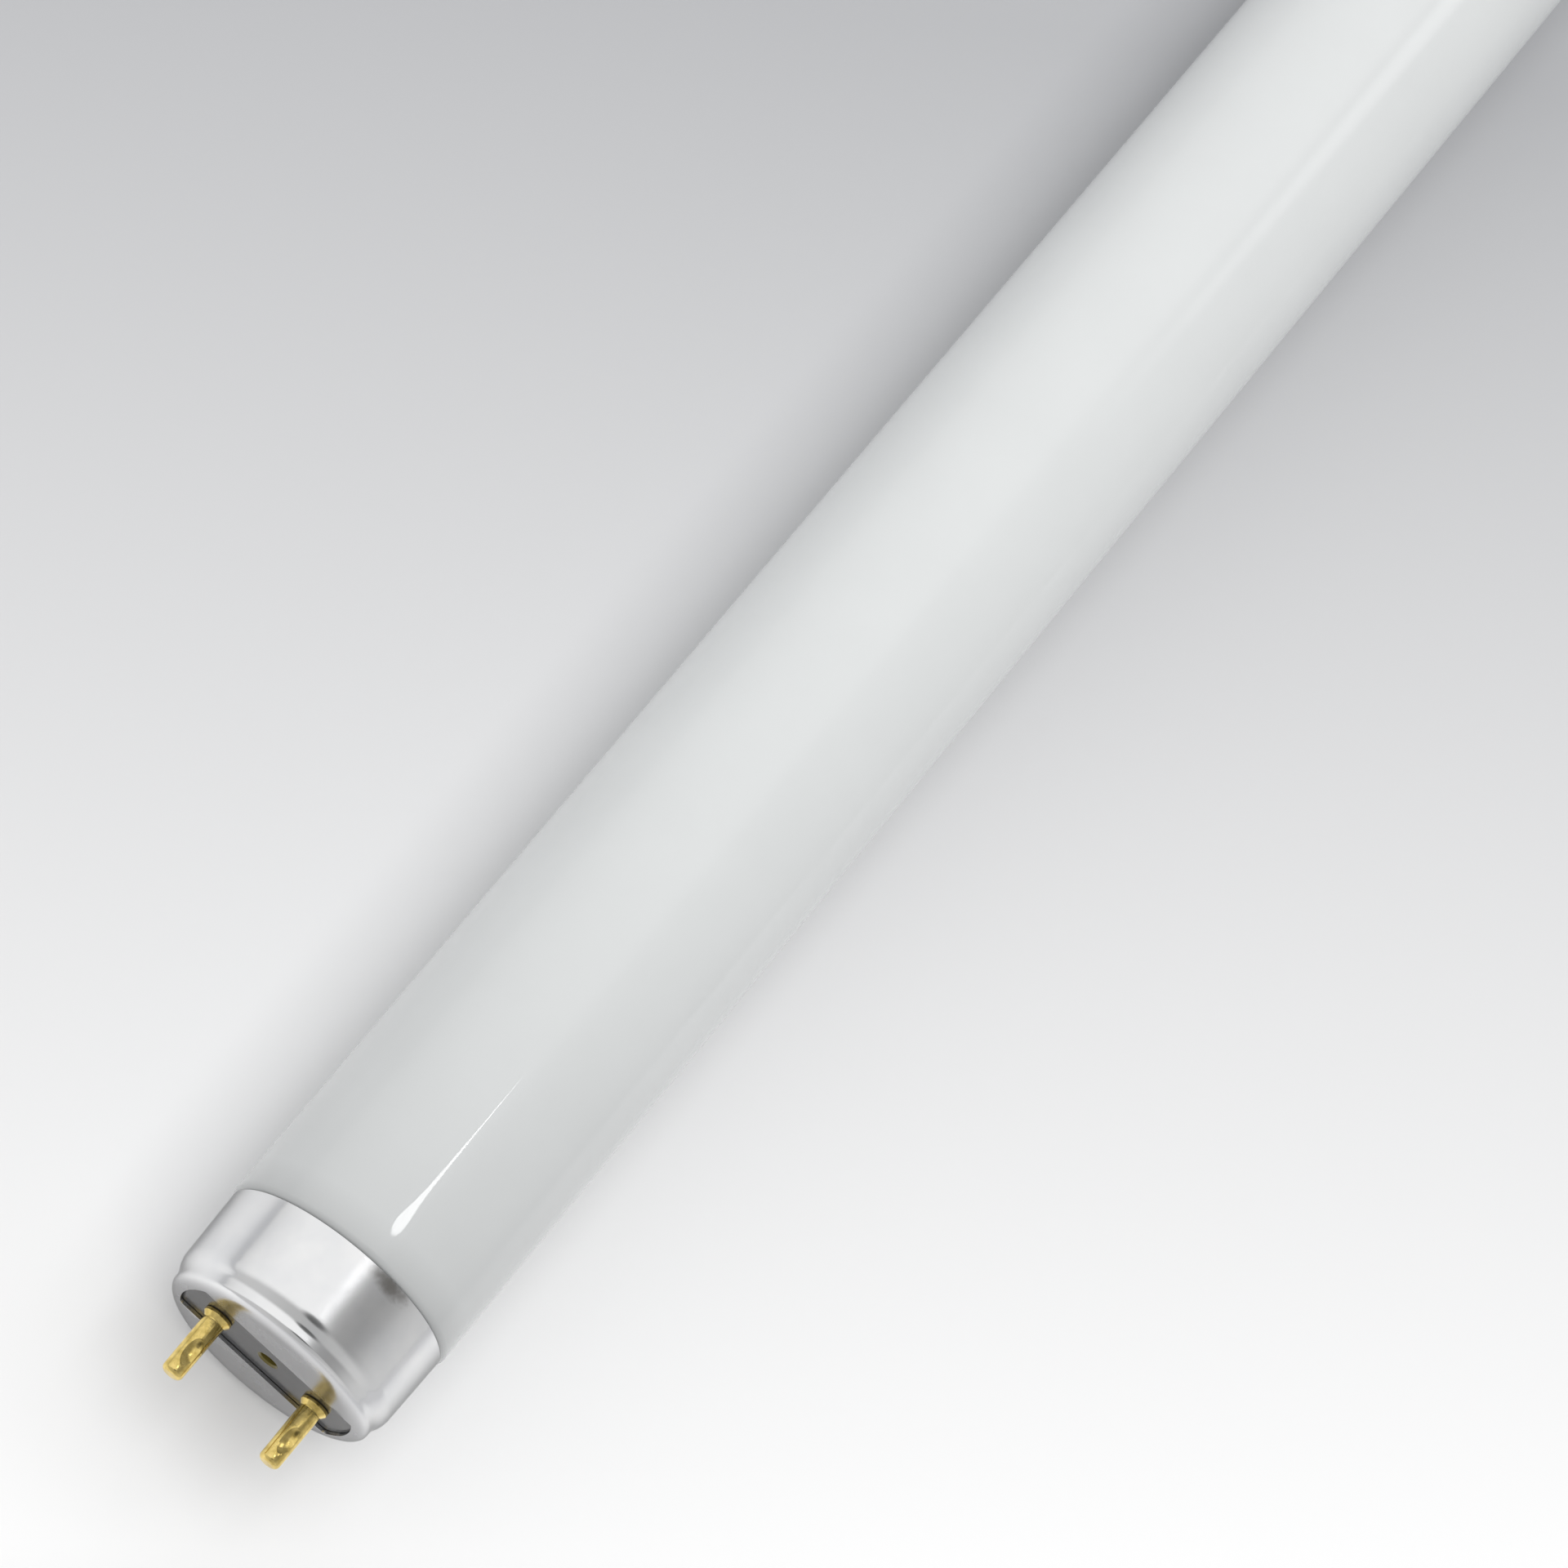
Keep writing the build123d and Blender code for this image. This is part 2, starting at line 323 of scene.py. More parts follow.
def slot_half_outline():
    """Places round one end of the slot, from one long side to the other, as (y, z)."""
    corner_z = SLOT_WIDTH / 2 - SLOT_CORNER
    corner_y = sqrt((SLOT_END_RADIUS - SLOT_CORNER) ** 2 - corner_z ** 2)
    end_turn = atan2(corner_z, corner_y)
    side_turn = 2 * pi / TUBE_SIDES
    steps = int(end_turn / side_turn)
    corner = []
    for step in range(SLOT_CORNER_STEPS + 1):
        turn = end_turn + (pi / 2 - end_turn) * step / SLOT_CORNER_STEPS
        corner.append((corner_y + SLOT_CORNER * cos(turn), corner_z + SLOT_CORNER * sin(turn)))
    end = [
        (SLOT_END_RADIUS * cos(step * side_turn), SLOT_END_RADIUS * sin(step * side_turn))
        for step in range(-steps, steps + 1)
    ]
    return [(y, -z) for y, z in reversed(corner)] + end + corner


def slot_cutter():
    """Prism with the outline of the cap's slot: two straight sides, round ends and small corners."""
    half = slot_half_outline()
    outline = half + [(-y, -z) for y, z in half]
    points = [Vector((FACE_X + CAP_WALL, y, z)) for y, z in outline]
    cutter = draw_profile("slot_cutter", points)
    bpy.ops.mesh.select_all(action="SELECT")
    bpy.ops.mesh.edge_face_add()
    bpy.ops.mesh.extrude_region_move(TRANSFORM_OT_translate={"value": (-SLOT_CUT_DEPTH, 0, 0)})
    bpy.ops.mesh.select_all(action="SELECT")
    bpy.ops.mesh.normals_make_consistent(inside=False)
    bpy.ops.object.mode_set(mode="OBJECT")
    return cutter


def end_cap():
    """Drawn shell: tapered skirt, a step in to the neck, round shoulder and a slotted face."""
    outside = cap_outline(0)
    inside = list(reversed(cap_outline(CAP_WALL)))
    piece = turned("end_cap_shell_a", outside + inside + outside[:1], TUBE_SIDES)
    cut_away(piece, slot_cutter())
    soften_edges(piece, SHEET_EDGE_ROUND, 2, SHEET_EDGE_FROM)
    smooth_shading(piece)
    return piece


def round_cutter(radius, start_x, end_x, y):
    """A plain drill for a hole along X."""
    deselect_all()
    bpy.ops.mesh.primitive_cylinder_add(
        vertices=PIN_SIDES, radius=radius, depth=end_x - start_x,
        location=((start_x + end_x) / 2, y, 0), rotation=(0, pi / 2, 0),
    )
    return bpy.context.object


def pin_plate():
    """Moulded disc with a countersunk vent hole in its middle and a hole for each pin."""
    back = [
        (PLATE_FRONT_X - VENT_COUNTERSINK, VENT_RADIUS, 0, 0),
        (PLATE_BACK_X, VENT_RADIUS, 0, 0),
        (PLATE_BACK_X, PLATE_RADIUS, 0, 0),
    ]
    front = shoulder(FACE_X - PLATE_FRONT_X)
    front.append((PLATE_FRONT_X, VENT_RADIUS + VENT_COUNTERSINK, 0, 0))
    piece = turned("pin_plate_moulding_a", back + front + back[:1], TUBE_SIDES)
    drill_start = PLATE_BACK_X - DRILL_PAST_PLATE
    drill_end = PLATE_FRONT_X + DRILL_PAST_PLATE
    for side in (-1, 1):
        cut_away(piece, round_cutter(PIN_RADIUS, drill_start, drill_end, side * PIN_Y))
    smooth_shading(piece)
    return piece


def crimp_cutter(side):
    """Long egg that presses one oval crimp into a pin."""
    deselect_all()
    height = PIN_RADIUS + CRIMP_RADIUS - CRIMP_DEPTH
    middle = Vector((PIN_TIP_X - CRIMP_FROM_TIP, PIN_Y, side * height))
    profile = []
    for step in range(CRIMP_STEPS + 1):
        turn = pi * step / CRIMP_STEPS
        profile.append((middle.x - CRIMP_HALF_LENGTH * cos(turn), CRIMP_RADIUS * sin(turn), 0, 0))
    cutter = turned("crimp_jaw", profile, PIN_SIDES)
    activate(cutter)
    bpy.ops.object.mode_set(mode="EDIT")
    bpy.ops.mesh.select_all(action="SELECT")
    bpy.ops.transform.translate(value=(0, middle.y, middle.z))
    bpy.ops.object.mode_set(mode="OBJECT")
    return cutter


def contact_pin():
    """Turned pin: riveted tail, coned collar on the plate, slim shank with a crimp on two sides."""
    collar_x = PLATE_FRONT_X + COLLAR_THICKNESS
    rivet_x = PLATE_BACK_X - RIVET_THICKNESS
    profile = [
        (PIN_BACK_X, 0, 0, 0),
        (PIN_BACK_X, PIN_RADIUS, PIN_TAIL_ROUND, 2),
        (rivet_x, PIN_RADIUS, 0, 0),
        (rivet_x, RIVET_RADIUS, RIVET_ROUND, 2),
        (PLATE_BACK_X, RIVET_RADIUS, 0, 0),
        (PLATE_BACK_X, PIN_RADIUS - NEAR, 0, 0),
        (PLATE_FRONT_X, PIN_RADIUS - NEAR, 0, 0),
        (PLATE_FRONT_X, COLLAR_RADIUS, COLLAR_BACK_ROUND, 4),
        (collar_x, COLLAR_RADIUS, COLLAR_FRONT_ROUND, 4),
        (collar_x + COLLAR_CONE_LENGTH, PIN_RADIUS, CONE_FOOT_ROUND, 4),
        (PIN_TIP_X - SHANK_TAPER_FROM_TIP, PIN_RADIUS, 0, 0),
        (PIN_TIP_X, PIN_TIP_RADIUS, PIN_TIP_ROUND, 8),
        (PIN_TIP_X, 0, 0, 0),
    ]
    piece = turned("contact_pin_a2_turned", profile, PIN_SIDES, PIN_Y)
    for side in (1, -1):
        cut_away(piece, crimp_cutter(side))
    soften_edges(piece, CRIMP_EDGE_ROUND, 3, CRIMP_EDGE_FROM)
    smooth_shading(piece)
    return piece


def node_of(tree, kind, **inputs):
    """Adds one shader node, with plain values on its named inputs."""
    node = tree.nodes.new(kind)
    for name, value in inputs.items():
        node.inputs[name].default_value = value
    return node


def new_material(name):
    """An empty node material with its Principled shader wired to the output."""
    material = bpy.data.materials.new(name)
    material.use_nodes = True
    tree = material.node_tree
    tree.nodes.clear()
    shader = tree.nodes.new("ShaderNodeBsdfPrincipled")
    output = tree.nodes.new("ShaderNodeOutputMaterial")
    tree.links.new(shader.outputs["BSDF"], output.inputs["Surface"])
    return material, tree, shader


def piece_place(tree, scale=(1, 1, 1)):
    """Object coordinates in millimetres, stretched by scale."""
    place = tree.nodes.new("ShaderNodeTexCoord")
    mapping = tree.nodes.new("ShaderNodeMapping")
    mapping.inputs["Scale"].default_value = [share / MM for share in scale]
    tree.links.new(place.outputs["Object"], mapping.inputs["Vector"])
    return mapping.outputs["Vector"]


def noise(tree, place, size, detail, roughness=0.5):
    """Soft noise whose cells are about that many millimetres across."""
    node = node_of(tree, "ShaderNodeTexNoise", Scale=1 / size, Detail=detail, Roughness=roughness)
    tree.links.new(place, node.inputs["Vector"])
    return node.outputs["Fac"]


def ramp(tree, value, stops):
    """Colour ramp through (place, colour) stops."""
    node = tree.nodes.new("ShaderNodeValToRGB")
    elements = node.color_ramp.elements
    while len(elements) < len(stops):
        elements.new(0.5)
    for element, (place, colour) in zip(elements, stops):
        element.position = place
        element.color = (*colour, 1)
    tree.links.new(value, node.inputs["Fac"])
    return node.outputs["Color"]


def spread(tree, value, low, high, from_low=0.0, from_high=1.0):
    """Maps a value from one span to another, held at the ends."""
    node = tree.nodes.new("ShaderNodeMapRange")
    node.inputs["From Min"].default_value = from_low
    node.inputs["From Max"].default_value = from_high
    node.inputs["To Min"].default_value = low
    node.inputs["To Max"].default_value = high
    tree.links.new(value, node.inputs["Value"])
    return node.outputs["Result"]


def smooth_step(tree, value, low, high, from_low, from_high):
    """Maps a value from one span to another with soft ends."""
    result = spread(tree, value, low, high, from_low, from_high)
    result.node.interpolation_type = "SMOOTHSTEP"
    return result


def arithmetic(tree, operation, one, other=0.0):
    """One Math node on two values or outputs."""
    node = tree.nodes.new("ShaderNodeMath")
    node.operation = operation
    for socket, value in zip(node.inputs, (one, other)):
        if isinstance(value, (int, float)):
            socket.default_value = value
        else:
            tree.links.new(value, socket)
    return node.outputs["Value"]


# Where a Mix node that mixes colours has its share, its two colours and its result
MIX_SHARE = 0
MIX_ONE = 6
MIX_OTHER = 7
MIX_RESULT = 2


def mix_colours(tree, share, one, other):
    """Mixes two colours, each a plain colour or an output, by a share."""
    node = tree.nodes.new("ShaderNodeMix")
    node.data_type = "RGBA"
    tree.links.new(share, node.inputs[MIX_SHARE])
    for place, colour in ((MIX_ONE, one), (MIX_OTHER, other)):
        if isinstance(colour, tuple):
            node.inputs[place].default_value = (*colour, 1)
        else:
            tree.links.new(colour, node.inputs[place])
    return node.outputs[MIX_RESULT]


def add_bump(tree, shader, height, strength, distance):
    """Wires a height to the shader's normal."""
    bump = node_of(tree, "ShaderNodeBump", Strength=strength, Distance=distance)
    tree.links.new(height, bump.inputs["Height"])
    tree.links.new(bump.outputs["Normal"], shader.inputs["Normal"])


def grey(value):
    return (value, value, value)


# Tone of the coating at some distances from the cap, in mm, from full white to darker at the cap
COATING_FADE = 130
COATING_TONES = [
    (130, 0.76), (95, 0.755), (60, 0.735), (36, 0.705),
    (12.5, 0.65), (4, 0.62), (1.4, 0.55), (0, 0.50),
]
COATING_RED_SHARE = 0.98
COATING_GLOW = 0.2
COATING_GLOW_DEPTH = 8 * MM
GLASS_INDEX = 1.5


def coated_glass():
    """Clear glass over a white powder coating whose tone grows darker towards the caps."""
    material, tree, shader = new_material("phosphor coated glass")
    place = piece_place(tree)
    parts = tree.nodes.new("ShaderNodeSeparateXYZ")
    tree.links.new(place, parts.inputs["Vector"])
    from_middle = arithmetic(tree, "ABSOLUTE", parts.outputs["X"])
    seam = SEAM_X / MM
    along = spread(tree, from_middle, 0, 1, seam - COATING_FADE, seam)
    stops = [
        (1 - from_seam / COATING_FADE, (COATING_RED_SHARE * tone, tone, tone))
        for from_seam, tone in COATING_TONES
    ]
    coating = ramp(tree, along, stops)
    cloud = noise(tree, place, 9.0, 4)
    faint = spread(tree, cloud, 0.975, 1.02)
    clouded = tree.nodes.new("ShaderNodeVectorMath")
    clouded.operation = "SCALE"
    tree.links.new(coating, clouded.inputs[0])
    tree.links.new(faint, clouded.inputs["Scale"])
    tree.links.new(clouded.outputs["Vector"], shader.inputs["Base Color"])
    smear = noise(tree, place, 6.0, 5, 0.6)
    tree.links.new(spread(tree, smear, 0.006, 0.02), shader.inputs["Roughness"])
    shader.inputs["IOR"].default_value = GLASS_INDEX
    shader.inputs["Subsurface Weight"].default_value = COATING_GLOW
    shader.inputs["Subsurface Radius"].default_value = (1, 1, 1)
    shader.inputs["Subsurface Scale"].default_value = COATING_GLOW_DEPTH
    drawn = noise(tree, piece_place(tree, (0.08, 1, 1)), 3.0, 2)
    add_bump(tree, shader, drawn, 0.005, 0.05 * MM)
    return material


# The cap's face is tinted darker with painted shade, standing in for the shaded table that it mirrors,
# and is a little rougher than its skirt, from the first distance behind it, in mm, and fully so from the
# second
FACE_SHADE_TINT = (0.70, 0.70, 0.71)
FACE_DULLNESS = 0.10
FACE_SHADE_AND_FINISH_STARTS = 0.55
FACE_SHADE_AND_FINISH_FULL = 0.1

# A dark patch on the skirt beside the seam: its middle in mm from the seam and across, and its size
SEAM_PATCH_FROM_SEAM = 0.5
SEAM_PATCH_Y = 2.2
SEAM_PATCH_HALF_LENGTH = 1.1
SEAM_PATCH_HALF_WIDTH = 2.6
SEAM_PATCH_STRENGTH = 0.75
SEAM_PATCH_COLOUR = (0.24, 0.22, 0.19)


def share_of_reach(tree, value, middle, reach):
    """Distance of a value from a middle, as a share of the reach, squared."""
    away = arithmetic(tree, "SUBTRACT", value, middle)
    return arithmetic(tree, "POWER", arithmetic(tree, "DIVIDE", away, reach), 2)


def dark_patch_beside_seam(tree, from_middle, parts):
    """Share of the dark patch, which fades out round its middle and lies on top of the lamp only."""
    back = share_of_reach(tree, from_middle, SEAM_X / MM + SEAM_PATCH_FROM_SEAM, SEAM_PATCH_HALF_LENGTH)
    side = share_of_reach(tree, parts.outputs["Y"], SEAM_PATCH_Y, SEAM_PATCH_HALF_WIDTH)
    away = arithmetic(tree, "SQRT", arithmetic(tree, "ADD", back, side))
    tatters = spread(tree, noise(tree, piece_place(tree), 0.8, 4), -0.5, 0.5)
    ragged = arithmetic(tree, "ADD", away, tatters)
    near = smooth_step(tree, ragged, SEAM_PATCH_STRENGTH, 0, 0.1, 1.2)
    on_top = arithmetic(tree, "GREATER_THAN", parts.outputs["Z"], 0)
    return arithmetic(tree, "MULTIPLY", near, on_top)


# Two tones of the bright sheet, and the tint of its gloss where it is seen nearly edge-on
SHEET_TONES = ((0.86, 0.865, 0.875), (0.92, 0.92, 0.92))
SHEET_EDGE_TINT = 0.45


def drawn_aluminium():
    """Bright aluminium with faint marks of the drawing die, a dark patch beside the seam, and painted
    shade on its face.
    """
    material, tree, shader = new_material("bright drawn aluminium")
    place = piece_place(tree)
    shader.inputs["Metallic"].default_value = 1.0
    shader.inputs["Specular Tint"].default_value = (*grey(SHEET_EDGE_TINT), 1)
    tint = noise(tree, place, 4.0, 4)
    metal = mix_colours(tree, spread(tree, tint, 0, 1, 0.35, 0.65), *SHEET_TONES)
    parts = tree.nodes.new("ShaderNodeSeparateXYZ")
    tree.links.new(place, parts.inputs["Vector"])
    from_middle = arithmetic(tree, "ABSOLUTE", parts.outputs["X"])
    face_place = FACE_X / MM
    # Painted shade: this share tints the face's base colour darker below, and also makes it a little
    # rougher
    face = smooth_step(
        tree, from_middle, 0, 1, face_place - FACE_SHADE_AND_FINISH_STARTS, face_place - FACE_SHADE_AND_FINISH_FULL,
    )
    metal = mix_colours(tree, face, metal, FACE_SHADE_TINT)
    seam_patch = dark_patch_beside_seam(tree, from_middle, parts)
    metal = mix_colours(tree, seam_patch, metal, SEAM_PATCH_COLOUR)
    tree.links.new(metal, shader.inputs["Base Color"])
    patches = noise(tree, place, 3.0, 5, 0.6)
    shell_roughness = spread(tree, patches, 0.11, 0.2, 0.3, 0.7)
    dullness = arithmetic(tree, "MULTIPLY", face, FACE_DULLNESS)
    tree.links.new(arithmetic(tree, "ADD", shell_roughness, dullness), shader.inputs["Roughness"])
    die_lines = noise(tree, piece_place(tree, (0.25, 3, 3)), 1.2, 3)
    orange_peel = noise(tree, place, 1.1, 2)
    height = arithmetic(tree, "ADD", arithmetic(tree, "MULTIPLY", die_lines, 0.6), orange_peel)
    add_bump(tree, shader, height, 0.035, 0.03 * MM)
    return material


BOARD_TONES = ((0.03, 0.03, 0.033), (0.05, 0.05, 0.053))

# The olive-brown ring round the vent is full to the first distance from its edge and gone at the second,
# in mm
VENT_RING_TINT = (0.17, 0.14, 0.035)
VENT_RING_FULL = 0.1
VENT_RING_GONE = 0.35


def moulded_phenolic():
    """Dark grey moulded board with a gloss skin and an olive-brown ring round its vent."""
    material, tree, shader = new_material("dark moulded phenolic")
    place = piece_place(tree)
    flecks = noise(tree, place, 0.35, 4, 0.7)
    board = mix_colours(tree, spread(tree, flecks, 0, 1, 0.35, 0.7), *BOARD_TONES)
    off_axis = tree.nodes.new("ShaderNodeVectorMath")
    off_axis.operation = "LENGTH"
    tree.links.new(piece_place(tree, (0, 1, 1)), off_axis.inputs[0])
    vent_edge = VENT_RADIUS / MM
    vent = smooth_step(
        tree, off_axis.outputs["Value"], 1, 0, vent_edge + VENT_RING_FULL, vent_edge + VENT_RING_GONE,
    )
    board = mix_colours(tree, vent, board, VENT_RING_TINT)
    tree.links.new(board, shader.inputs["Base Color"])
    tree.links.new(spread(tree, noise(tree, place, 1.5, 4), 0.14, 0.26), shader.inputs["Roughness"])
    add_bump(tree, shader, noise(tree, place, 0.5, 3), 0.08, 0.02 * MM)
    return material


BRASS_TONES = ((0.93, 0.72, 0.26), (0.60, 0.44, 0.12))


def turned_brass():
    """Yellow brass with turning marks round the pin and darker stains."""
    material, tree, shader = new_material("turned yellow brass")
    place = piece_place(tree)
    shader.inputs["Metallic"].default_value = 1.0
    stain = noise(tree, place, 0.9, 5, 0.6)
    metal = mix_colours(tree, spread(tree, stain, 0, 1, 0.35, 0.7), *BRASS_TONES)
    tree.links.new(metal, shader.inputs["Base Color"])
    polish = spread(tree, noise(tree, place, 0.7, 5), 0.08, 0.22, 0.3, 0.7)
    tree.links.new(polish, shader.inputs["Roughness"])
    turning = noise(tree, piece_place(tree, (6, 0.4, 0.4)), 0.5, 3)
    dents = noise(tree, place, 0.5, 3)
    height = arithmetic(tree, "ADD", arithmetic(tree, "MULTIPLY", turning, 0.4), dents)
    add_bump(tree, shader, height, 0.3, 0.03 * MM)
    return material


CEMENT_TONES = ((0.42, 0.34, 0.25), (0.64, 0.56, 0.44))


def baked_cement():
    """Matt grainy basing cement."""
    material, tree, shader = new_material("baked basing cement")
    place = piece_place(tree)
    grain = noise(tree, place, 0.3, 6, 0.7)
    tree.links.new(mix_colours(tree, grain, *CEMENT_TONES), shader.inputs["Base Color"])
    tree.links.new(spread(tree, grain, 0.75, 0.95), shader.inputs["Roughness"])
    add_bump(tree, shader, grain, 0.4, 0.05 * MM)
    return material


WIRE_TONES = ((0.60, 0.58, 0.54), (0.76, 0.74, 0.70))


def nickelled_wire():
    """Drawn wire with a nickel skin."""
    material, tree, shader = new_material("nickelled wire")
    place = piece_place(tree, (0.2, 1, 1))
    shader.inputs["Metallic"].default_value = 1.0
    streaks = noise(tree, place, 0.2, 4)
    tree.links.new(mix_colours(tree, streaks, *WIRE_TONES), shader.inputs["Base Color"])
    tree.links.new(spread(tree, streaks, 0.22, 0.4), shader.inputs["Roughness"])
    add_bump(tree, shader, streaks, 0.2, 0.01 * MM)
    return material


def give_material(piece, material):
    piece.data.materials.clear()
    piece.data.materials.append(material)


def dress(piece, material, node):
    """Gives a new piece its material and its place in the frame."""
    give_material(piece, material)
    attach(piece, "root")
    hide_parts(node)


def build_lamp():
    """Models the visible pieces and finishes the ones that stay as they are."""
    dress(glass_skin(), coated_glass(), "glass_tube")
    aluminium, phenolic, brass = drawn_aluminium(), moulded_phenolic(), turned_brass()
    cap = end_cap()
    plate = pin_plate()
    pin_2 = contact_pin()
    pin_1 = copy_to_other_pin(pin_2, "contact_pin_a1_turned")
    finishes = [
        (cap, aluminium, "polished_aluminium", "end_cap_a"),
        (plate, phenolic, "dark_phenolic", "pin_plate_a"),
        (pin_1, brass, "yellow_brass", "contact_pin_a1"),
        (pin_2, brass, "yellow_brass", "contact_pin_a2"),
    ]
    for piece, material, slot, node in finishes:
        twin = copy_to_other_end(piece, piece.name.replace("_a", "_b"))
        dress(piece, material, node)
        dress(twin, material, node.replace("_a", "_b"))
    cement, wire = baked_cement(), nickelled_wire()
    for name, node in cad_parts.items():
        if name.startswith("cement_ring"):
            give_material(node, cement)
        if name.startswith("lead_wire"):
            give_material(node, wire)


# The camera stands beyond the near end and looks down along the lamp
CAMERA_PLACE = Vector((458.2, -102.8, 577.3)) * MM
CAMERA_AIM = Vector((214.3, 2.7, 0.0)) * MM
CAMERA_TURN = radians(65.26)
LENS_MM = 145.25
SENSOR_MM = 36.0
NEAREST_SEEN = 0.01
FARTHEST_SEEN = 50


def place_camera():
    bpy.ops.object.camera_add(location=CAMERA_PLACE)
    camera = bpy.context.object
    camera.data.lens = LENS_MM
    camera.data.sensor_width = SENSOR_MM
    camera.data.clip_start = NEAREST_SEEN
    camera.data.clip_end = FARTHEST_SEEN
    sight = (CAMERA_AIM - CAMERA_PLACE).to_track_quat("-Z", "Y")
    camera.rotation_mode = "QUATERNION"
    camera.rotation_quaternion = sight @ Quaternion((0, 0, 1), CAMERA_TURN)
    bpy.context.scene.camera = camera
    return camera


def floor_under_frame_edge(camera, side):
    """Where the sight line through the middle of the picture's top or bottom edge meets the floor."""
    turn = camera.rotation_quaternion
    half_width = SENSOR_MM / 2 / LENS_MM
    line = turn @ Vector((0, side * half_width, -1))
    return CAMERA_PLACE + line * ((FLOOR_Z - CAMERA_PLACE.z) / line.z)


FLOOR_SIZE = 8.0

# Tones of the floor from beyond the picture's top edge, which is at 0, to beyond its bottom edge at 1
FLOOR_STOPS = [
    (-1.0, (0.50, 0.505, 0.52)),
    (0.0, (0.50, 0.505, 0.52)),
    (1.0, (0.97, 0.97, 0.97)),
    (1.4, (0.60, 0.60, 0.61)),
]

# Where the tent opens for the camera, as seen from the lamp
GAP_DIRECTION = Vector((0.27, 0.0, 0.96)).normalized()
GAP_CORE = radians(6)
GAP_EDGE = radians(16)
GAP_DARKNESS = 0.85

# A brighter window far behind, which draws the broad gleam high on the glass
WINDOW_DIRECTION = Vector((-0.60, 0.33, 0.73)).normalized()
WINDOW_CORE = radians(2)
WINDOW_EDGE = radians(11)
WINDOW_BRIGHTNESS = 2.2

# Drop-shaped card: places back from its head and half widths there, in mm
CARD_HEAD_X = 99.5 * MM
CARD_Y = 17.5 * MM
CARD_Z = 600 * MM
CARD_RADIANCE = 9.0
CARD_HALF_OUTLINE = [
    (0, 0), (1, 36), (3, 54), (5, 50), (8.5, 28), (12, 18), (17, 12), (28, 6), (44, 0),
]

# The tent's brightness at some turns from the lamp's right, over its top, to its left, in degrees
TENT_START = -30
TENT_END = 210
TENT_SIDE_TONES = [
    (-15, 0.62), (4, 0.62), (19, 0.58), (32, 0.49), (44, 0.36), (56, 0.31), (68, 0.33), (77, 0.42),
    (86, 0.95), (144, 0.92), (168, 0.82), (181, 0.68), (200, 0.60),
]
TENT_FRONT_TONES = [
    (0, 0.62), (25, 0.62), (50, 0.50), (90, 0.455), (120, 0.50), (145, 0.575), (180, 0.57),
]
GAP_TONE = 0.02

# How far forward a direction points where the tent's front begins, and where it is all front
FRONT_STARTS = 0.1
FRONT_FULL = 0.45

# The overhead softbox, in metres and watts
SOFTBOX_PLACE = Vector((0.2, 0.1, 2.2))
SOFTBOX_AIM = Vector((0.2, 0, 0))
SOFTBOX_SIZE = 2.0
SOFTBOX_POWER = 24


def reach_along(tree, vector, direction):
    """How far a vector reaches along a fixed direction."""
    node = tree.nodes.new("ShaderNodeVectorMath")
    node.operation = "DOT_PRODUCT"
    node.inputs[1].default_value = direction
    tree.links.new(vector, node.inputs[0])
    return node.outputs["Value"]


def lay_floor(camera):
    """Pale table top that goes from light grey at the picture's top to white at its bottom."""
    top = floor_under_frame_edge(camera, 1)
    bottom = floor_under_frame_edge(camera, -1)
    deselect_all()
    bpy.ops.mesh.primitive_plane_add(size=FLOOR_SIZE, location=(0, 0, FLOOR_Z))
    floor = bpy.context.object
    floor.name = "table_top"
    bpy.ops.object.transform_apply(location=True)
    material, tree, shader = new_material("pale table top")
    coordinates = tree.nodes.new("ShaderNodeTexCoord")
    offset = tree.nodes.new("ShaderNodeVectorMath")
    offset.operation = "SUBTRACT"
    offset.inputs[1].default_value = top
    tree.links.new(coordinates.outputs["Object"], offset.inputs[0])
    run = bottom - top
    along = reach_along(tree, offset.outputs["Vector"], run / run.length_squared)
    low, high = FLOOR_STOPS[0][0], FLOOR_STOPS[-1][0]
    share = spread(tree, along, 0, 1, low, high)
    colour = ramp(tree, share, [((place - low) / (high - low), tone) for place, tone in FLOOR_STOPS])
    tree.links.new(colour, shader.inputs["Base Color"])
    shader.inputs["Roughness"].default_value = 1.0
    shader.inputs["Specular IOR Level"].default_value = 0.0
    give_material(floor, material)


def tent_wall(tree, turn, tones):
    """Grey of one part of the tent, from its tones at some turns round the lamp's axis."""
    whole = TENT_END - TENT_START
    return ramp(tree, turn, [((degrees - TENT_START) / whole, grey(tone)) for degrees, tone in tones])


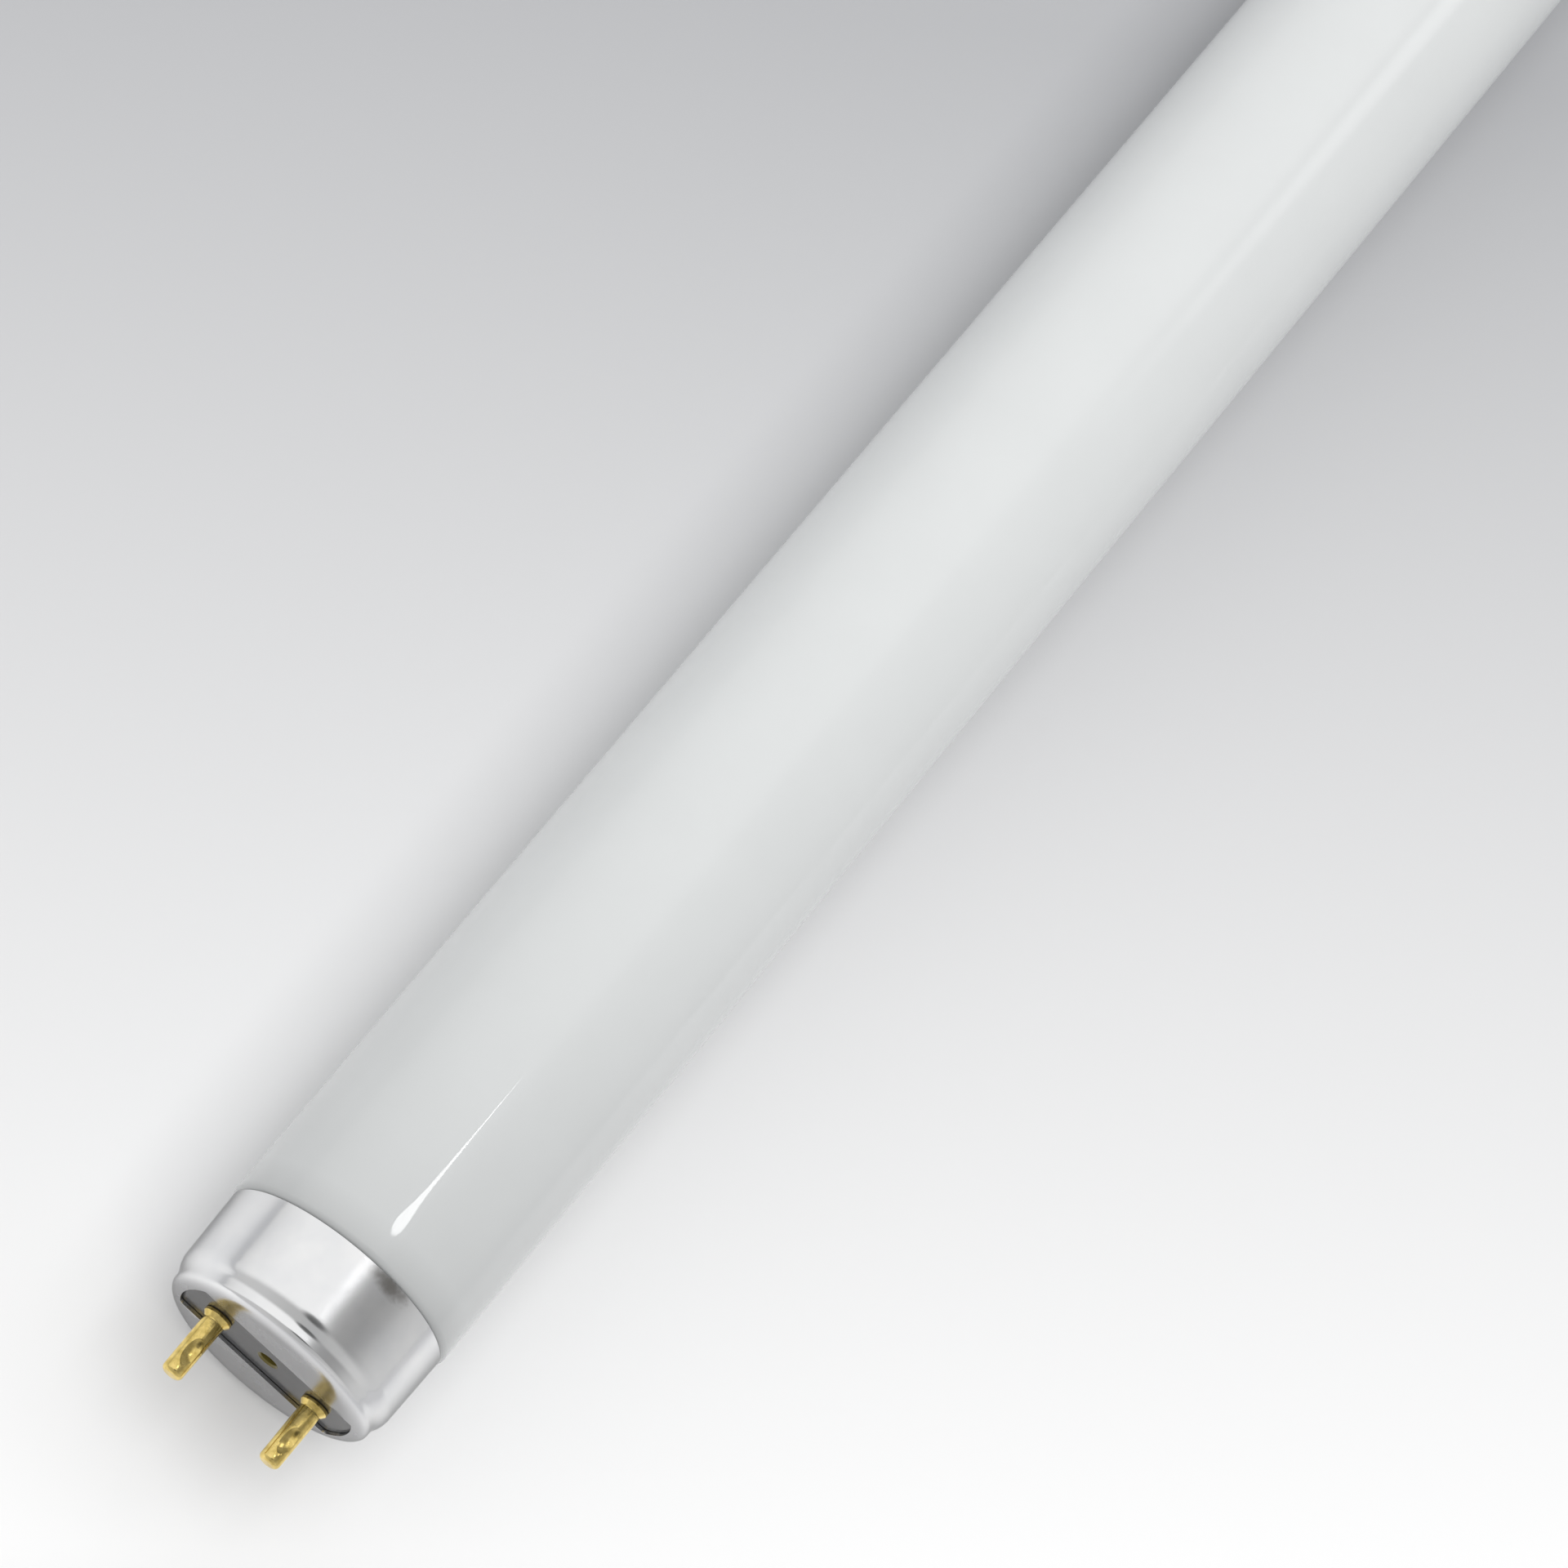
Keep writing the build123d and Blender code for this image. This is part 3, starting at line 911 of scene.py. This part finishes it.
def light_room():
    """A soft white tent round the lamp, with a dark gap where the camera looks in."""
    world = bpy.data.worlds.new("soft white tent")
    bpy.context.scene.world = world
    world.use_nodes = True
    tree = world.node_tree
    tree.nodes.clear()
    place = tree.nodes.new("ShaderNodeTexCoord")
    direction = tree.nodes.new("ShaderNodeSeparateXYZ")
    tree.links.new(place.outputs["Generated"], direction.inputs["Vector"])
    front_share = smooth_step(tree, direction.outputs["X"], 0, 1, FRONT_STARTS, FRONT_FULL)
    around = arithmetic(tree, "ARCTAN2", direction.outputs["Z"], direction.outputs["Y"])
    turn = spread(tree, around, 0, 1, radians(TENT_START), radians(TENT_END))
    sides = tent_wall(tree, turn, TENT_SIDE_TONES)
    front = tent_wall(tree, turn, TENT_FRONT_TONES)
    tent = mix_colours(tree, front_share, sides, front)
    toward_gap = reach_along(tree, place.outputs["Generated"], GAP_DIRECTION)
    gap = smooth_step(tree, toward_gap, 0, GAP_DARKNESS, cos(GAP_EDGE), cos(GAP_CORE))
    tent = mix_colours(tree, gap, tent, grey(GAP_TONE))
    toward_window = reach_along(tree, place.outputs["Generated"], WINDOW_DIRECTION)
    window = smooth_step(tree, toward_window, 0, 1, cos(WINDOW_EDGE), cos(WINDOW_CORE))
    tent = mix_colours(tree, window, tent, grey(WINDOW_BRIGHTNESS))
    background = tree.nodes.new("ShaderNodeBackground")
    output = tree.nodes.new("ShaderNodeOutputWorld")
    tree.links.new(tent, background.inputs["Color"])
    tree.links.new(background.outputs["Background"], output.inputs["Surface"])


def hang_softbox():
    """A square sheet of light that brightens the scene and leaves the metal's reflections alone."""
    bpy.ops.object.light_add(type="AREA", location=SOFTBOX_PLACE)
    lamp = bpy.context.object
    lamp.name = "overhead softbox"
    lamp.data.shape = "SQUARE"
    lamp.data.size = SOFTBOX_SIZE
    lamp.data.energy = SOFTBOX_POWER
    lamp.rotation_mode = "QUATERNION"
    lamp.rotation_quaternion = (SOFTBOX_AIM - SOFTBOX_PLACE).to_track_quat("-Z", "Y")
    lamp.visible_camera = False
    lamp.visible_glossy = False


def hang_streak_card():
    """A small drop-shaped glowing card above the lamp, whose reflection draws the streak on the glass."""
    half = [(CARD_HEAD_X - back * MM, wide * MM) for back, wide in CARD_HALF_OUTLINE]
    outline = half + [(x, -wide) for x, wide in reversed(half[1:-1])]
    card = draw_profile("streak_card", [Vector((x, CARD_Y + wide, CARD_Z)) for x, wide in outline])
    bpy.ops.mesh.select_all(action="SELECT")
    bpy.ops.mesh.edge_face_add()
    bpy.ops.object.mode_set(mode="OBJECT")
    material = bpy.data.materials.new("glowing card")
    material.use_nodes = True
    tree = material.node_tree
    tree.nodes.clear()
    glow = node_of(tree, "ShaderNodeEmission", Strength=CARD_RADIANCE)
    output = tree.nodes.new("ShaderNodeOutputMaterial")
    tree.links.new(glow.outputs["Emission"], output.inputs["Surface"])
    give_material(card, material)
    card.visible_camera = False


def set_stage():
    scene = bpy.context.scene
    scene.view_settings.view_transform = "Standard"
    camera = place_camera()
    lay_floor(camera)
    light_room()
    hang_softbox()
    hang_streak_card()


build_lamp()
set_stage()
